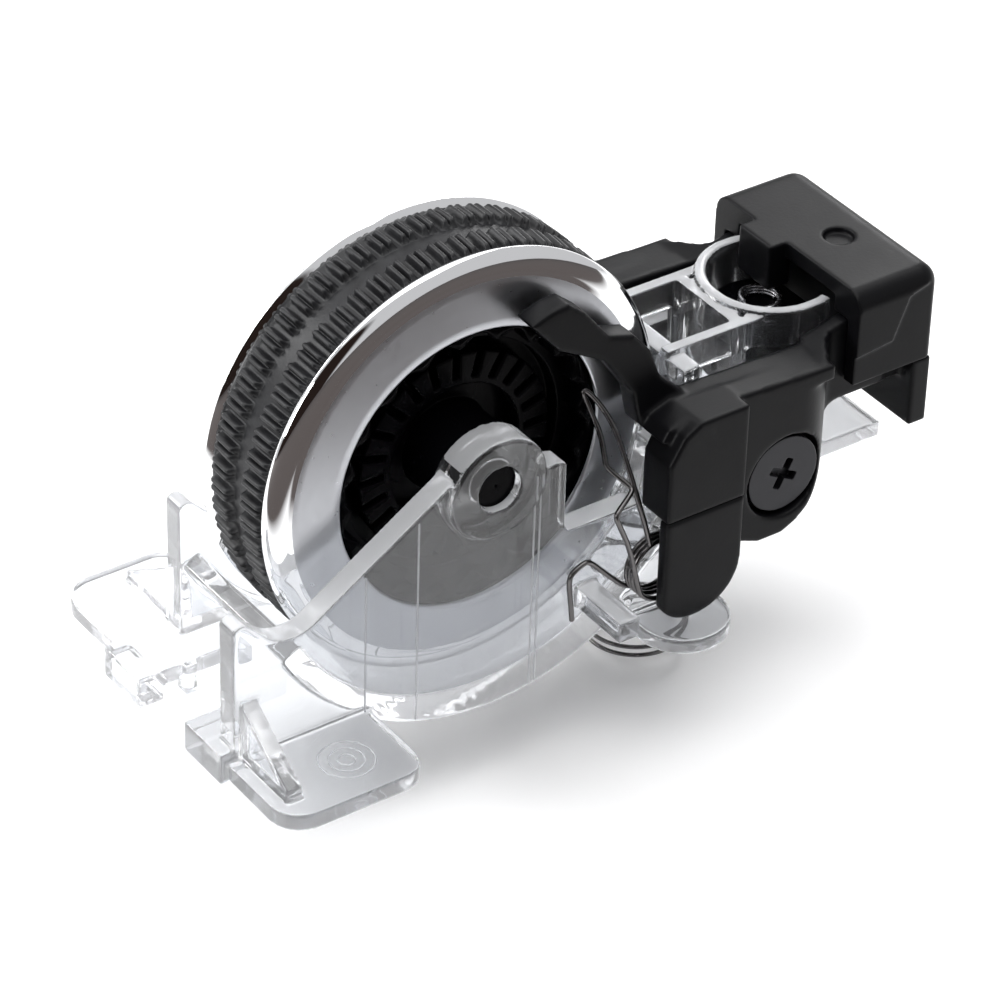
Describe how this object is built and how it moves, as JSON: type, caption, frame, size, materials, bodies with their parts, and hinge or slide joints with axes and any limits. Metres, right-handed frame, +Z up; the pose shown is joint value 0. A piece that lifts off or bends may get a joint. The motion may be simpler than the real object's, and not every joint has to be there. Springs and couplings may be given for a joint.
{
  "type": "scroll wheel module",
  "caption": "Chrome-rimmed ribbed scroll wheel in a clear cradle, with a black rocker yoke, detent wire spring and return spring.",
  "frame": {"origin": "centre of the scroll wheel, on its axle", "axes": "+X towards the hood at the rear, +Y along the axle, +Z up"},
  "size_m": [0.0457, 0.0236, 0.031],
  "materials": {
    "clear_plastic": "clear moulded polycarbonate, polished",
    "black_plastic": "fine-textured black moulded plastic",
    "gloss_black": "smooth black moulded plastic",
    "chrome": "bright chrome plate, satin on the flat face",
    "rubber": "ribbed black rubber",
    "steel": "drawn steel wire and turned steel",
    "black_steel": "black-oxide steel"
  },
  "bodies": {
    "cradle_body": {"cradle": "clear_plastic", "axle_pin": "black_steel", "pivot_screws": "black_steel", "pivot_bushes": "steel", "detent_spring": "steel", "return_spring": "steel"},
    "wheel_body": {"wheel_hub": "gloss_black", "near_bush": "gloss_black", "far_bush": "gloss_black", "ratchet_ring": "black_plastic", "encoder_ring": "gloss_black", "near_rim": "chrome", "far_rim": "chrome", "tyre": "rubber"},
    "yoke_body": {"yoke_frame": "black_plastic", "hood_cap": "black_plastic", "near_paddle": "black_plastic", "far_paddle": "black_plastic"},
    "finger_body": {"detent_finger": "steel"},
    "plunger_body": {"plunger": "gloss_black", "plunger_clip": "black_steel", "plunger_spring": "steel"}
  },
  "joints": [
    {"name": "wheel_spin", "type": "hinge", "parent": "cradle_body", "child": "wheel_body", "pos_m": [0, 0, 0], "axis": [0, 1, 0], "continuous": true},
    {"name": "yoke_rock", "type": "hinge", "parent": "cradle_body", "child": "yoke_body", "pos_m": [0.0179, 0, -0.0052], "axis": [0, 1, 0], "range_deg": [0, 3], "stiffness_Nm_per_rad": 0.02, "springref_deg": -1.72},
    {"name": "detent_flex", "type": "hinge", "parent": "cradle_body", "child": "finger_body", "pos_m": [0.01, 0, -0.0084], "axis": [0, -1, 0], "range_deg": [0, 3], "stiffness_Nm_per_rad": 0.002},
    {"name": "plunger_slide", "type": "slide", "parent": "cradle_body", "child": "plunger_body", "axis": [0, 0, -1], "range_m": [0, 0.0003], "stiffness_N_per_m": 150}
  ]
}
